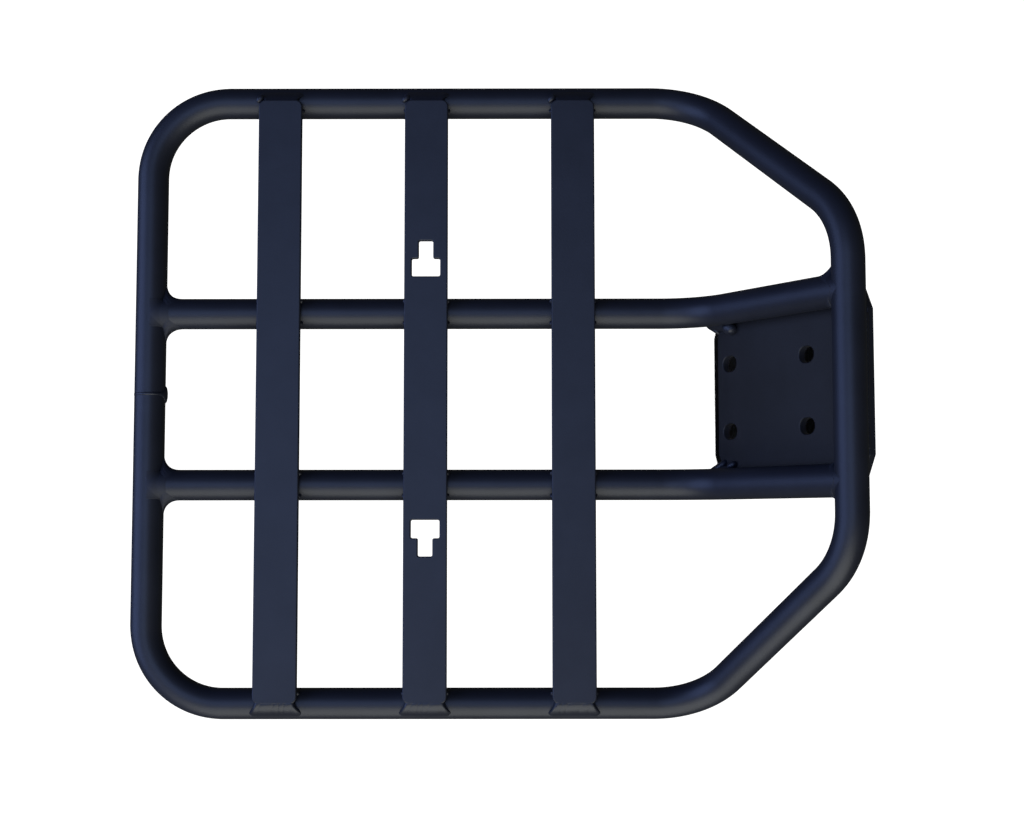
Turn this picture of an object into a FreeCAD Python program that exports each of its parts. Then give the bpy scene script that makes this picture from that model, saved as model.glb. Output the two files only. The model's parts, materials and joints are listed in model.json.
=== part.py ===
import FreeCAD, Part

import math
import os

import Sketcher
from FreeCAD import Placement, Rotation, Vector

# Welded tube carrier for the head tube of a carrying cycle.
# Frame: X runs from the free front end to the mounting plate, Y across, Z up.
# The origin is the centre of the middle slat's top face, so Z = 0 is the load deck.

doc = FreeCAD.newDocument("TubeCarrier")

# ---------------------------------------------------------------- driving sizes, in mm and degrees

SIZES = [
    ("tube_od", 18.0, "outer diameter of every tube"),
    ("tube_wall", 2.0, "wall of every tube"),
    ("ring_half_width", 177.0, "middle plane to the axis of a side tube"),
    ("front_to_fold", 323.0, "axis of the front tube to the fold line"),
    ("front_to_slat", 77.0, "axis of the front tube to the middle of the front slat"),
    ("ring_bend", 45.0, "centre-line radius of the ring's six bends"),
    ("rail_bend", 45.0, "centre-line radius of the rails' bend at the fold"),
    ("incline_angle", 55.0, "angle of the raised rear frame to the deck, degrees"),
    ("incline_length", 118.0, "fold line to the axis of the rear tube, up the incline"),
    ("rear_half_width", 90.0, "middle plane to where a diagonal's axis meets the rear tube's"),
    ("rail_spacing", 101.0, "axis to axis of the two rails"),
    ("butt_gap", 1.0, "root gap between the ring's two ends, filled by their weld"),
    ("butt_offset", 2.8, "middle plane to the middle of that gap, towards the right"),
    ("slat_width", 25.4, "width of a flat slat"),
    ("slat_thickness", 4.0, "thickness of a flat slat"),
    ("slat_pitch", 86.0, "middle to middle of neighbouring slats"),
    ("slat_end_inset", 1.0, "end of a slat to the axis of the side tube, inwards"),
    ("slat_corner", 4.0, "corner radius of a slat"),
    ("strap_inner", 71.0, "middle plane to the near edge of a strap slot"),
    ("strap_head_width", 16.6, "width of a strap slot's wide part"),
    ("strap_head_length", 10.5, "length of a strap slot's wide part"),
    ("strap_stem_width", 8.4, "width of a strap slot's stem"),
    ("strap_stem_length", 10.5, "length of a strap slot's stem"),
    ("plate_past_left", 2.5, "axis of the left rail to the plate's left side, outwards"),
    ("plate_past_right", 6.0, "axis of the right rail to the plate's right side, outwards"),
    ("plate_thickness", 5.0, "thickness of the mounting plate"),
    ("plate_start", 7.0, "fold line to the plate's lower edge, up the incline"),
    ("plate_past_tube", 4.5, "axis of the rear tube to the plate's upper edge"),
    ("plate_low_cut", 20.0, "cut of a lower corner, along the plate's lower edge"),
    ("plate_low_rise", 9.0, "cut of a lower corner, up the plate's side"),
    ("plate_high_cut", 16.0, "cut of an upper corner, along the plate's upper edge"),
    ("plate_high_drop", 6.7, "cut of an upper corner, down the plate's side"),
    ("hole_edge", 10.0, "plate's lower edge to the middle of the lower holes"),
    ("hole_across", 39.5, "middle to middle of the holes across the plate"),
    ("hole_along", 61.0, "middle to middle of the holes up the plate"),
    ("hole_width", 9.0, "width of a hole"),
    ("hole_length", 11.0, "end to end length of a hole, up the plate"),
    ("tee_leg", 9.5, "leg of the fillet weld where a rail meets the front tube"),
    ("tee_half_height", 7.0, "half height of that weld"),
    ("rear_leg", 4.5, "leg of the fillet weld where a rail meets the rear tube"),
    ("end_bead_left", 3.2, "radius of the bead across a slat's left end"),
    ("end_bead_right", 2.2, "radius of the bead across a slat's right end"),
    ("end_bead_over", 3.2, "length of an end bead past each edge of the slat"),
    ("flank_bead", 2.0, "radius of the beads under a slat, beside each tube"),
    ("flank_bead_over", 1.2, "length of those beads past each edge of the slat"),
    ("corner_bead", 3.6, "radius of the welds at the plate's lower corners"),
    ("corner_bead_length", 19.0, "length of those welds"),
    ("plate_bead", 2.4, "radius of the welds along the plate"),
    ("butt_bead_width", 4.0, "width of the ring weld on the front tube"),
    ("butt_bead_rise", 0.5, "height of the ring weld above the tube"),
]

sheet = doc.addObject("Spreadsheet::Sheet", "Sizes")
for row, (alias, value, meaning) in enumerate(SIZES, start=1):
    sheet.set("A%d" % row, meaning)
    sheet.set("B%d" % row, str(value))
    sheet.setAlias("B%d" % row, alias)
doc.recompute()

# Where the middle of a bead lies, as formulas of its own radius or of the tube's.

FLANK = "0.7 * Derived.tube_r"
FLANK_Z = "-Sizes.slat_thickness - 0.95 * Sizes.flank_bead"
END_OUT = "0.4 * "
END_DROP = "-0.92 * "
CORNER_Z = "-Derived.tube_r + 0.6 * Sizes.corner_bead"
TOP_X = "Sizes.incline_length + 0.55 * Derived.tube_r"
TOP_Z = "-0.98 * Derived.tube_r"

# ---------------------------------------------------------------- sizes worked out from them

DERIVED = [
    ("tube_r", "Sizes.tube_od / 2"),
    ("bore_r", "Sizes.tube_od / 2 - Sizes.tube_wall"),
    ("axis_z", "-Sizes.slat_thickness - Sizes.tube_od / 2"),
    ("front_x", "-Sizes.front_to_slat - Sizes.slat_pitch"),
    ("fold_x", "-Sizes.front_to_slat - Sizes.slat_pitch + Sizes.front_to_fold"),
    ("run_x", "cos(Sizes.incline_angle * 1 deg)"),
    ("run_z", "sin(Sizes.incline_angle * 1 deg)"),
    ("rear_x", "Derived.fold_x + Sizes.incline_length * Derived.run_x"),
    ("rear_z", "Derived.axis_z + Sizes.incline_length * Derived.run_z"),
    ("rail_y", "Sizes.rail_spacing / 2"),
    ("slat_half_length", "Sizes.ring_half_width - Sizes.slat_end_inset"),
    ("plate_end", "Sizes.incline_length + Sizes.plate_past_tube"),
    ("plate_width", "Sizes.rail_spacing + Sizes.plate_past_left + Sizes.plate_past_right"),
    ("plate_offset", "(Sizes.plate_past_right - Sizes.plate_past_left) / 2"),
    ("hole_low", "Sizes.plate_start + Sizes.hole_edge"),
    ("rail_tangent", "Sizes.rail_bend * tan(Sizes.incline_angle * 0.5 deg)"),
]

derived = doc.addObject("App::VarSet", "Derived")
for name, _ in DERIVED:
    derived.addProperty("App::PropertyFloat", name)
for name, formula in DERIVED:
    derived.setExpression(name, formula)
    doc.recompute()


def size(alias):
    """A driving size, read from the sheet."""
    return float(sheet.get(alias))


def worked(name):
    """A size worked out from the driving ones."""
    return float(getattr(derived, name))


subparts = []


def keep(obj, node):
    """Marks an object as a sub-part and names its file."""
    obj.Label = node
    subparts.append(obj)
    return obj


# ---------------------------------------------------------------- small builders

UP_X = Rotation(Vector(0, 0, 1), Vector(1, 0, 0))
UP_Y = Rotation(Vector(0, 0, 1), Vector(0, 1, 0))


def place(obj, x="0", y="0", z="0"):
    """Binds an object's position to three formulas."""
    for axis, formula in zip("xyz", (x, y, z)):
        obj.setExpression(".Placement.Base." + axis, formula)
    return obj


def cylinder(name, radius, length, x, y, z, turn):
    """A cylinder of the given formulas, starting at x, y, z and running along the turned Z."""
    obj = doc.addObject("Part::Cylinder", name)
    obj.setExpression("Radius", radius)
    obj.setExpression("Height", length)
    obj.Placement = Placement(Vector(), turn)
    return place(obj, x, y, z)


def box(name, length, width, height, x, y, z):
    """A box of the given formulas with its lowest corner at x, y, z."""
    obj = doc.addObject("Part::Box", name)
    obj.setExpression("Length", length)
    obj.setExpression("Width", width)
    obj.setExpression("Height", height)
    return place(obj, x, y, z)


def cut(name, base, tools):
    """The base less each tool in turn."""
    for number, tool in enumerate(tools):
        result = doc.addObject("Part::Cut", "%s_cut%d" % (name, number))
        result.Base = base
        result.Tool = tool
        result.Refine = False
        base = result
    return base


def body_sketch(body, role, name):
    """A sketch on one of a body's own origin planes."""
    plane = [f for f in body.Origin.OriginFeatures if f.Role == role][0]
    sketch = body.newObject("Sketcher::SketchObject", name)
    sketch.AttachmentSupport = (plane, "")
    sketch.MapMode = "FlatFace"
    return sketch


def circle(sketch, x, y, radius):
    """A circle whose centre and radius are bound to formulas."""
    shape = Part.Circle(Vector(1, 1, 0), Vector(0, 0, 1), 5)
    index = sketch.addGeometry(shape)
    bind(sketch, "Radius", (index,), radius)
    bind(sketch, "DistanceX", (-1, 1, index, 3), x)
    bind(sketch, "DistanceY", (-1, 1, index, 3), y)
    return index


def bind(sketch, kind, picks, formula):
    """A dimension whose value comes from a formula."""
    value = FreeCAD.Units.Quantity(str(abs(evaluate(sketch, formula))))
    number = sketch.addConstraint(Sketcher.Constraint(kind, *picks, value))
    sketch.setExpression("Constraints[%d]" % number, formula)
    return number


def evaluate(obj, formula):
    """The present value of a formula as a plain number."""
    value = obj.evalExpression(formula)
    return value.Value if hasattr(value, "Value") else float(value)


def outline(sketch, points):
    """A closed outline whose corners are bound to pairs of formulas."""
    spots = [Vector(evaluate(sketch, x), evaluate(sketch, y), 0) for x, y in points]
    first = None
    for number, start in enumerate(spots):
        end = spots[(number + 1) % len(spots)]
        index = sketch.addGeometry(Part.LineSegment(start, end))
        first = index if first is None else first
    for number, (x, y) in enumerate(points):
        last = first + (number - 1) % len(points)
        sketch.addConstraint(Sketcher.Constraint("Coincident", last, 2, first + number, 1))
        bind(sketch, "DistanceX", (-1, 1, first + number, 1), x)
        bind(sketch, "DistanceY", (-1, 1, first + number, 1), y)


def slot(sketch, x, y, length, width):
    """A round-ended slot along the sketch's X, centred at x, y."""
    reach = "(%s - %s) / 2" % (length, width)
    cx, cy = evaluate(sketch, x), evaluate(sketch, y)
    dx, r = evaluate(sketch, reach), evaluate(sketch, width) / 2
    quarter = math.pi / 2
    far = sketch.addGeometry(Part.ArcOfCircle(
        Part.Circle(Vector(cx + dx, cy, 0), Vector(0, 0, 1), r), -quarter, quarter))
    near = sketch.addGeometry(Part.ArcOfCircle(
        Part.Circle(Vector(cx - dx, cy, 0), Vector(0, 0, 1), r), quarter, 3 * quarter))
    top = sketch.addGeometry(Part.LineSegment(
        Vector(cx + dx, cy + r, 0), Vector(cx - dx, cy + r, 0)))
    low = sketch.addGeometry(Part.LineSegment(
        Vector(cx - dx, cy - r, 0), Vector(cx + dx, cy - r, 0)))
    for a, a_end, b, b_end in ((far, 2, top, 1), (top, 2, near, 1), (near, 2, low, 1), (low, 2, far, 1)):
        sketch.addConstraint(Sketcher.Constraint("Tangent", a, a_end, b, b_end))
    bind(sketch, "Radius", (far,), "(%s) / 2" % width)
    bind(sketch, "DistanceX", (-1, 1, far, 3), "%s + %s" % (x, reach))
    bind(sketch, "DistanceY", (-1, 1, far, 3), y)
    bind(sketch, "DistanceX", (-1, 1, near, 3), "%s - %s" % (x, reach))
    bind(sketch, "DistanceY", (-1, 1, near, 3), y)


def pocket(body, sketch, name):
    """Cuts a sketch right through a body, both ways, and checks that it cut something."""
    before = body.Shape.Volume
    feature = body.newObject("PartDesign::Pocket", name)
    feature.Profile = sketch
    feature.Type = "ThroughAll"
    feature.Midplane = True
    doc.recompute()
    if body.Shape.Volume > before - 1e-3:
        raise RuntimeError(name + " removes nothing")
    return feature


def on_incline(obj):
    """Puts an object in the incline's frame: X up the incline, Y across, Z out of its front."""
    obj.Placement = Placement(Vector(), Rotation(Vector(0, -1, 0), size("incline_angle")))
    obj.setExpression(".Placement.Rotation.Angle", "Sizes.incline_angle * 1 deg")
    return place(obj, "Derived.fold_x", "0", "Derived.axis_z")


# ---------------------------------------------------------------- outer ring: one bent tube

def rounded_path(corners, radius):
    """Straight runs through the corners, joined by tangent arcs of one radius."""
    edges = []
    here = corners[0]
    for before, corner, after in zip(corners, corners[1:], corners[2:]):
        back = (before - corner).normalize()
        ahead = (after - corner).normalize()
        half = back.getAngle(ahead) / 2
        tangent = radius / math.tan(half)
        enter = corner + back * tangent
        leave = corner + ahead * tangent
        centre = corner + (back + ahead).normalize() * (radius / math.sin(half))
        middle = centre + (corner - centre).normalize() * radius
        edges.append(Part.LineSegment(here, enter).toShape())
        edges.append(Part.Arc(enter, middle, leave).toShape())
        here = leave
    edges.append(Part.LineSegment(here, corners[-1]).toShape())
    return Part.Wire(edges)


def ring_corners():
    """The ring's corners from the butt weld round to the butt weld again."""
    front, fold, rear = worked("front_x"), worked("fold_x"), worked("rear_x")
    low, high = worked("axis_z"), worked("rear_z")
    side, tail, gap = size("ring_half_width"), size("rear_half_width"), size("butt_gap") / 2
    middle = size("butt_offset")
    half = [(front, side, low), (fold, side, low), (rear, tail, high)]
    other = [(x, -y, z) for x, y, z in reversed(half)]
    ends = [(front, middle + gap, low)], [(front, middle - gap, low)]
    return [Vector(*corner) for corner in ends[0] + half + other + ends[1]]


ring_path = doc.addObject("Part::Feature", "RingPath")
ring_path.Shape = rounded_path(ring_corners(), size("ring_bend"))
doc.recompute()


def swept(name, radius):
    """A round bar of the given radius along the ring's path."""
    section = doc.addObject("Part::Circle", name + "_section")
    section.setExpression("Radius", radius)
    section.Placement = Placement(Vector(), UP_Y)
    place(section, "Derived.front_x", "Sizes.butt_offset + Sizes.butt_gap / 2", "Derived.axis_z")
    sweep = doc.addObject("Part::Sweep", name)
    sweep.Sections = [section]
    sweep.Spine = (ring_path, ["Edge%d" % (i + 1) for i in range(len(ring_path.Shape.Edges))])
    sweep.Solid = True
    sweep.Frenet = False
    return sweep


ring = keep(cut("Ring", swept("RingOuter", "Derived.tube_r"), [swept("RingBore", "Derived.bore_r")]),
            "outer_ring")
doc.recompute()
section_area = math.pi * (worked("tube_r") ** 2 - worked("bore_r") ** 2)
expected = section_area * ring_path.Shape.Length
if abs(ring.Shape.Volume / expected - 1) > 0.002:
    raise RuntimeError("the ring's volume is %.0f, not %.0f" % (ring.Shape.Volume, expected))

# The ring's two ends meet near the middle of the front tube, in one weld all round.

weld = doc.addObject("Part::Torus", "ButtBead")
weld_radius = "((Sizes.butt_bead_width / 2) ^ 2 + Sizes.butt_bead_rise ^ 2) / (2 * Sizes.butt_bead_rise)"
weld.setExpression("Radius2", weld_radius)
weld.setExpression("Radius1", "Derived.tube_r + Sizes.butt_bead_rise - " + weld_radius)
weld.Placement = Placement(Vector(), UP_Y)
place(weld, "Derived.front_x", "Sizes.butt_offset", "Derived.axis_z")
reach = "Sizes.butt_bead_width"
tube_right = cylinder("ButtRight", "Derived.tube_r", reach,
                      "Derived.front_x", "Sizes.butt_offset + Sizes.butt_gap / 2", "Derived.axis_z", UP_Y)
tube_left = cylinder("ButtLeft", "Derived.tube_r", reach, "Derived.front_x",
                     "Sizes.butt_offset - Sizes.butt_gap / 2 - " + reach, "Derived.axis_z", UP_Y)
weld_bore = cylinder("ButtBore", "Derived.bore_r", "2 * " + reach, "Derived.front_x",
                     "Sizes.butt_offset - " + reach, "Derived.axis_z", UP_Y)
keep(cut("ButtWeld", weld, [tube_right, tube_left, weld_bore]), "ring_butt_weld")

# ---------------------------------------------------------------- two rails, bent up at the fold

SIDES = [("left", "-"), ("right", "")]


def make_rail(side, sign):
    """One tube from the front tube to the rear tube, its ends coped to sit round them."""
    body = doc.addObject("PartDesign::Body", "Rail_" + side)
    path = body_sketch(body, "XZ_Plane", "RailPath_" + side)
    start = Vector(worked("front_x"), worked("axis_z"), 0)
    end = Vector(worked("rear_x"), worked("rear_z"), 0)
    fold = Vector(worked("fold_x"), worked("axis_z"), 0)
    tilt = math.radians(size("incline_angle"))
    enter = fold - Vector(worked("rail_tangent"), 0, 0)
    leave = fold + Vector(math.cos(tilt), math.sin(tilt), 0) * worked("rail_tangent")
    bend = Part.Circle(enter + Vector(0, size("rail_bend"), 0), Vector(0, 0, 1), size("rail_bend"))
    down = -math.pi / 2
    path.addGeometry(Part.LineSegment(start, enter))
    path.addGeometry(Part.ArcOfCircle(bend, down, down + tilt))
    path.addGeometry(Part.LineSegment(leave, end))
    path.addConstraint(Sketcher.Constraint("Tangent", 0, 2, 1, 1))
    path.addConstraint(Sketcher.Constraint("Tangent", 1, 2, 2, 1))
    path.addConstraint(Sketcher.Constraint("Horizontal", 0))
    bind(path, "DistanceX", (-1, 1, 0, 1), "Derived.front_x")
    bind(path, "DistanceY", (-1, 1, 0, 1), "Derived.axis_z")
    bind(path, "DistanceX", (-1, 1, 2, 2), "Derived.rear_x")
    bind(path, "DistanceY", (-1, 1, 2, 2), "Derived.rear_z")
    bind(path, "Radius", (1,), "Sizes.rail_bend")
    fall = path.addConstraint(Sketcher.Constraint("Angle", 2, tilt))
    path.setExpression("Constraints[%d]" % fall, "Sizes.incline_angle * 1 deg")

    profile = body_sketch(body, "YZ_Plane", "RailProfile_" + side)
    profile.setExpression(".AttachmentOffset.Base.z", "Derived.front_x")
    circle(profile, "0", "Derived.axis_z", "Derived.tube_r")
    circle(profile, "0", "Derived.axis_z", "Derived.bore_r")
    doc.recompute()

    pipe = body.newObject("PartDesign::AdditivePipe", "RailTube_" + side)
    pipe.Profile = profile
    pipe.Spine = (path, ["Edge1", "Edge2", "Edge3"])
    doc.recompute()
    for name, x, z in (("Front", "Derived.front_x", "Derived.axis_z"),
                       ("Rear", "Derived.rear_x", "Derived.rear_z")):
        cope = body_sketch(body, "XZ_Plane", "%sCope_%s" % (name, side))
        circle(cope, x, z, "Derived.tube_r")
        doc.recompute()
        pocket(body, cope, "%sCoping_%s" % (name, side))
    place(body, "0", sign + "Derived.rail_y", "0")
    return keep(body, "rail_" + side)


for side, sign in SIDES:
    make_rail(side, sign)

# ---------------------------------------------------------------- three flat slats over the tubes

SLATS = [("front", "-Sizes.slat_pitch"), ("middle", "0"), ("rear", "Sizes.slat_pitch")]


def strap_slot(sketch):
    """The T-shaped hole for a strap, its stem pointing outwards."""
    head, stem = "Sizes.strap_head_width / 2", "Sizes.strap_stem_width / 2"
    step = "Sizes.strap_inner + Sizes.strap_head_length"
    top = step + " + Sizes.strap_stem_length"
    right = [(head, "Sizes.strap_inner"), (head, step), (stem, step), (stem, top)]
    left = [("-" + x, y) for x, y in reversed(right)]
    outline(sketch, right + left)


def make_slat(name, x):
    """One flat bar with rounded corners; the middle one has two strap slots."""
    body = doc.addObject("PartDesign::Body", "Slat_" + name)
    flat = body_sketch(body, "XY_Plane", "SlatOutline_" + name)
    wide, long = "Sizes.slat_width / 2", "Derived.slat_half_length"
    outline(flat, [("-" + wide, "-" + long), (wide, "-" + long), (wide, long), ("-" + wide, long)])
    doc.recompute()
    pad = body.newObject("PartDesign::Pad", "SlatBar_" + name)
    pad.Profile = flat
    pad.setExpression("Length", "Sizes.slat_thickness")
    pad.Reversed = True
    doc.recompute()
    upright = [i for i, e in enumerate(pad.Shape.Edges, start=1)
               if abs(e.Vertexes[0].Z - e.Vertexes[-1].Z) > size("slat_thickness") / 2]
    corners = body.newObject("PartDesign::Fillet", "SlatCorners_" + name)
    corners.Base = (pad, ["Edge%d" % i for i in upright])
    corners.setExpression("Radius", "Sizes.slat_corner")
    doc.recompute()
    if name == "middle":
        slots = body_sketch(body, "XY_Plane", "StrapSlot")
        strap_slot(slots)
        doc.recompute()
        strap = pocket(body, slots, "StrapCut")
        before = body.Shape.Volume
        mirror = body.newObject("PartDesign::Mirrored", "StrapCutMirror")
        mirror.Originals = [strap]
        mirror.MirrorPlane = ([f for f in body.Origin.OriginFeatures if f.Role == "XZ_Plane"][0], [""])
        body.Tip = mirror
        doc.recompute()
        if body.Shape.Volume > before - 1:
            raise RuntimeError("the second strap slot is missing")
    place(body, x, "0", "0")
    return keep(body, "slat_" + name)


for name, x in SLATS:
    make_slat(name, x)

# ---------------------------------------------------------------- mounting plate behind the incline

plate = doc.addObject("PartDesign::Body", "Plate")
plate_outline = body_sketch(plate, "XY_Plane", "PlateOutline")
plate_outline.setExpression(".AttachmentOffset.Base.z", "-Derived.tube_r")
edge, low, high = "Derived.plate_width / 2", "Sizes.plate_start", "Derived.plate_end"
corners = [(low, edge + " - Sizes.plate_low_cut"), (low + " + Sizes.plate_low_rise", edge),
           (high + " - Sizes.plate_high_drop", edge), (high, edge + " - Sizes.plate_high_cut")]
right = [(x, "Derived.plate_offset + " + y) for x, y in corners]
left = [(x, "Derived.plate_offset - (%s)" % y) for x, y in reversed(corners)]
outline(plate_outline, right + left)
doc.recompute()
plate_pad = plate.newObject("PartDesign::Pad", "PlateBlank")
plate_pad.Profile = plate_outline
plate_pad.setExpression("Length", "Sizes.plate_thickness")
plate_pad.Reversed = True
doc.recompute()
holes = body_sketch(plate, "XY_Plane", "PlateHoles")
for x in ("Derived.hole_low", "Derived.hole_low + Sizes.hole_along"):
    for y in ("-Sizes.hole_across / 2", "Sizes.hole_across / 2"):
        slot(holes, x, y, "Sizes.hole_length", "Sizes.hole_width")
doc.recompute()
pocket(plate, holes, "PlateHoleCut")
on_incline(plate)
keep(plate, "mount_plate")

# ---------------------------------------------------------------- fillet welds at the rails' ends

def tee_weld(name, x, leg, sign, toward):
    """Concave fillets, both sides of a rail, where it meets a cross tube at x."""
    half, height = "(Derived.tube_r + %s)" % leg, "Sizes.tee_half_height"
    y = sign + "Derived.rail_y"
    start = x if toward > 0 else "%s - %s" % (x, half)
    block = box(name + "_block", half, "2 * " + half, "2 * " + height,
                start, "%s - %s" % (y, half), "-" + height)
    far = "%s %s %s" % (x, "+" if toward > 0 else "-", half)
    rounds = [cylinder("%s_round%d" % (name, i), leg, "4 * " + height, far,
                       "%s %s %s" % (y, way, half), "-2 * " + height, Rotation())
              for i, way in enumerate("+-")]
    cross = cylinder(name + "_cross", "Derived.tube_r", "4 * " + half,
                     x, "%s - 2 * %s" % (y, half), "0", UP_Y)
    rail = cylinder(name + "_rail", "Derived.tube_r", "4 * " + half,
                    "%s - 2 * %s" % (x, half), y, "0", UP_X)
    return cut(name, block, rounds + [cross, rail])


for side, sign in SIDES:
    front = tee_weld("FrontTee_" + side, "Derived.front_x", "Sizes.tee_leg", sign, 1)
    keep(place(front, "0", "0", "Derived.axis_z"), "rail_front_weld_" + side)
    rear = tee_weld("RearTee_" + side, "Sizes.incline_length", "Sizes.rear_leg", sign, -1)
    keep(on_incline(rear), "rail_rear_weld_" + side)

# ---------------------------------------------------------------- welds that hold the slats

def slat_bar(name, x):
    """A plain bar in a slat's place, to cut its welds to shape."""
    return box(name + "_bar", "Sizes.slat_width", "2 * Derived.slat_half_length",
               "Sizes.slat_thickness", x + " - Sizes.slat_width / 2",
               "-Derived.slat_half_length", "-Sizes.slat_thickness")


def slat_bead(name, x, y, z, radius, over, tube_y):
    """A bead along a slat's width, shaped by the slat and by the tube under it."""
    length = "(Sizes.slat_width + 2 * %s)" % over
    bead = cylinder(name, radius, length, "%s - %s / 2" % (x, length), y, z, UP_X)
    tube = cylinder(name + "_tube", "Derived.tube_r", "3 * Sizes.slat_width",
                    x + " - 1.5 * Sizes.slat_width", tube_y, "Derived.axis_z", UP_X)
    return cut(name, bead, [slat_bar(name, x), tube])


for slat, x in SLATS:
    for side, sign in SIDES:
        tag = "%s_%s" % (slat, side)
        tube_y = sign + "Sizes.ring_half_width"
        radius = "Sizes.end_bead_" + side
        end_y = "%s(Derived.slat_half_length + %s)" % (sign, END_OUT + radius)
        end = slat_bead("End_" + tag, x, end_y, END_DROP + radius, radius,
                        "Sizes.end_bead_over", tube_y)
        keep(end, "slat_%s_end_weld_%s" % (slat, side))
        inner = slat_bead("Inner_" + tag, x, "%s(Sizes.ring_half_width - %s)" % (sign, FLANK),
                          FLANK_Z, "Sizes.flank_bead", "Sizes.flank_bead_over", tube_y)
        keep(inner, "slat_%s_tube_weld_%s" % (slat, side))
        rail_y = sign + "Derived.rail_y"
        flanks = [slat_bead("Flank%d_%s" % (i, tag), x, "%s %s %s" % (rail_y, way, FLANK),
                            FLANK_Z, "Sizes.flank_bead", "Sizes.flank_bead_over", rail_y)
                  for i, way in enumerate("+-")]
        pair = doc.addObject("Part::Compound", "Flanks_" + tag)
        pair.Links = flanks
        keep(pair, "slat_%s_rail_weld_%s" % (slat, side))

# ---------------------------------------------------------------- welds that hold the plate

def plate_blank(name):
    """A plain block in the plate's place, in the incline's frame, to cut its welds to shape."""
    return box(name + "_plate", "Derived.plate_end - Sizes.plate_start", "Derived.plate_width",
               "Sizes.plate_thickness", "Sizes.plate_start", "Derived.plate_offset - Derived.plate_width / 2",
               "-Derived.tube_r - Sizes.plate_thickness")


def incline_rail(name, x, y):
    """A bar in a rail's place on the incline, from x upwards."""
    return cylinder(name + "_rail", "Derived.tube_r", "Derived.plate_end", x, y, "0", UP_X)


for side, sign in SIDES:
    rail_y = sign + "Derived.rail_y"
    stitch = cylinder("Stitch_" + side, "Sizes.corner_bead", "Sizes.corner_bead_length",
                      "Sizes.plate_start - Sizes.corner_bead", "%s(Derived.rail_y - %s)" % (sign, FLANK),
                      CORNER_Z, UP_X)
    bend = doc.addObject("Part::Torus", "Stitch_bend_" + side)
    bend.setExpression("Radius1", "Sizes.rail_bend")
    bend.setExpression("Radius2", "Derived.tube_r")
    bend.Placement = Placement(Vector(), UP_Y)
    place(bend, "Derived.rail_tangent", rail_y, "Sizes.rail_bend")
    stitch = cut("StitchWeld_" + side, stitch,
                 [plate_blank("Stitch_" + side), bend,
                  incline_rail("Stitch_" + side, "Derived.rail_tangent", rail_y)])
    keep(on_incline(stitch), "plate_corner_weld_" + side)

    seam_start = "Sizes.plate_start + Sizes.plate_low_rise"
    seam_end = "Sizes.incline_length - 2 * Derived.tube_r"
    seam = cylinder("Seam_" + side, "Sizes.plate_bead", "%s - %s" % (seam_end, "(%s)" % seam_start),
                    seam_start, "Derived.plate_offset %s Derived.plate_width / 2" % (sign or "+"),
                    "-Derived.tube_r", UP_X)
    seam = cut("SeamWeld_" + side, seam,
               [plate_blank("Seam_" + side), incline_rail("Seam_" + side, "0", rail_y)])
    keep(on_incline(seam), "plate_side_weld_" + side)

top_length = "Derived.plate_width - 2 * Sizes.plate_high_cut - 2 * Sizes.plate_bead"
top = cylinder("Top", "Sizes.plate_bead", top_length,
               TOP_X, "Derived.plate_offset - (%s) / 2" % top_length, TOP_Z, UP_Y)
rear_tube = cylinder("Top_tube", "Derived.tube_r", "2 * Derived.rail_y",
                     "Sizes.incline_length", "-Derived.rail_y", "0", UP_Y)
keep(on_incline(cut("TopWeld", top, [plate_blank("Top"), rear_tube])), "plate_top_weld")

# ---------------------------------------------------------------- checks and export

doc.recompute()
for obj in doc.Objects:
    if any(word in obj.State for word in ("Invalid", "Error")):
        raise RuntimeError("%s failed: %s" % (obj.Name, obj.State))
for obj in subparts:
    if obj.Shape.isNull() or not obj.Shape.isValid() or not obj.Shape.Solids:
        raise RuntimeError("%s has no valid solid" % obj.Label)

os.makedirs("parts", exist_ok=True)
for obj in subparts:
    obj.Shape.exportStep("parts/%s.step" % obj.Label)
    print("%-28s %9.1f mm3, %d solid(s)" % (obj.Label, obj.Shape.Volume, len(obj.Shape.Solids)))
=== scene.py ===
"""Welded tube carrier: finished surfaces, materials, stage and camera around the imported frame."""

import json
import math

import bmesh
import bpy
import numpy as np
from bpy.props import FloatProperty, FloatVectorProperty, IntProperty, PointerProperty
from mathutils import Matrix, Vector
from mathutils.geometry import tessellate_polygon


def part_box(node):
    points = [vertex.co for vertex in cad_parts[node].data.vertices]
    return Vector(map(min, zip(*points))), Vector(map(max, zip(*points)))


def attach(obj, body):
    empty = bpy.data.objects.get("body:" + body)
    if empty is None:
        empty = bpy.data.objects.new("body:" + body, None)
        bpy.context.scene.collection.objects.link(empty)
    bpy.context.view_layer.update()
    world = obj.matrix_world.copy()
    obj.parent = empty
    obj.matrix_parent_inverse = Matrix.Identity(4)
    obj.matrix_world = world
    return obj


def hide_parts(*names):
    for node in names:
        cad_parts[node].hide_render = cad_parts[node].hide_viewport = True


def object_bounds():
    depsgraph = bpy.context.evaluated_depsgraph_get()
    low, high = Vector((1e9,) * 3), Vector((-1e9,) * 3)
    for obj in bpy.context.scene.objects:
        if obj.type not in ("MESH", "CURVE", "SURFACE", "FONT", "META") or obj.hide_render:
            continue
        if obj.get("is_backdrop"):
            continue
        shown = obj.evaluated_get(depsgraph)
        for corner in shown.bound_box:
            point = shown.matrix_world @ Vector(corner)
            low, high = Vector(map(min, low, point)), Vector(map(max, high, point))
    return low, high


bl_info = {
    "name": "Tube Carrier",
    "version": (1, 0, 0),
    "blender": (4, 5, 0),
    "location": "View3D > Sidebar > Carrier",
    "description": "Builds the finished surfaces of a welded tube carrier around its frame",
    "category": "Object",
}

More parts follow.
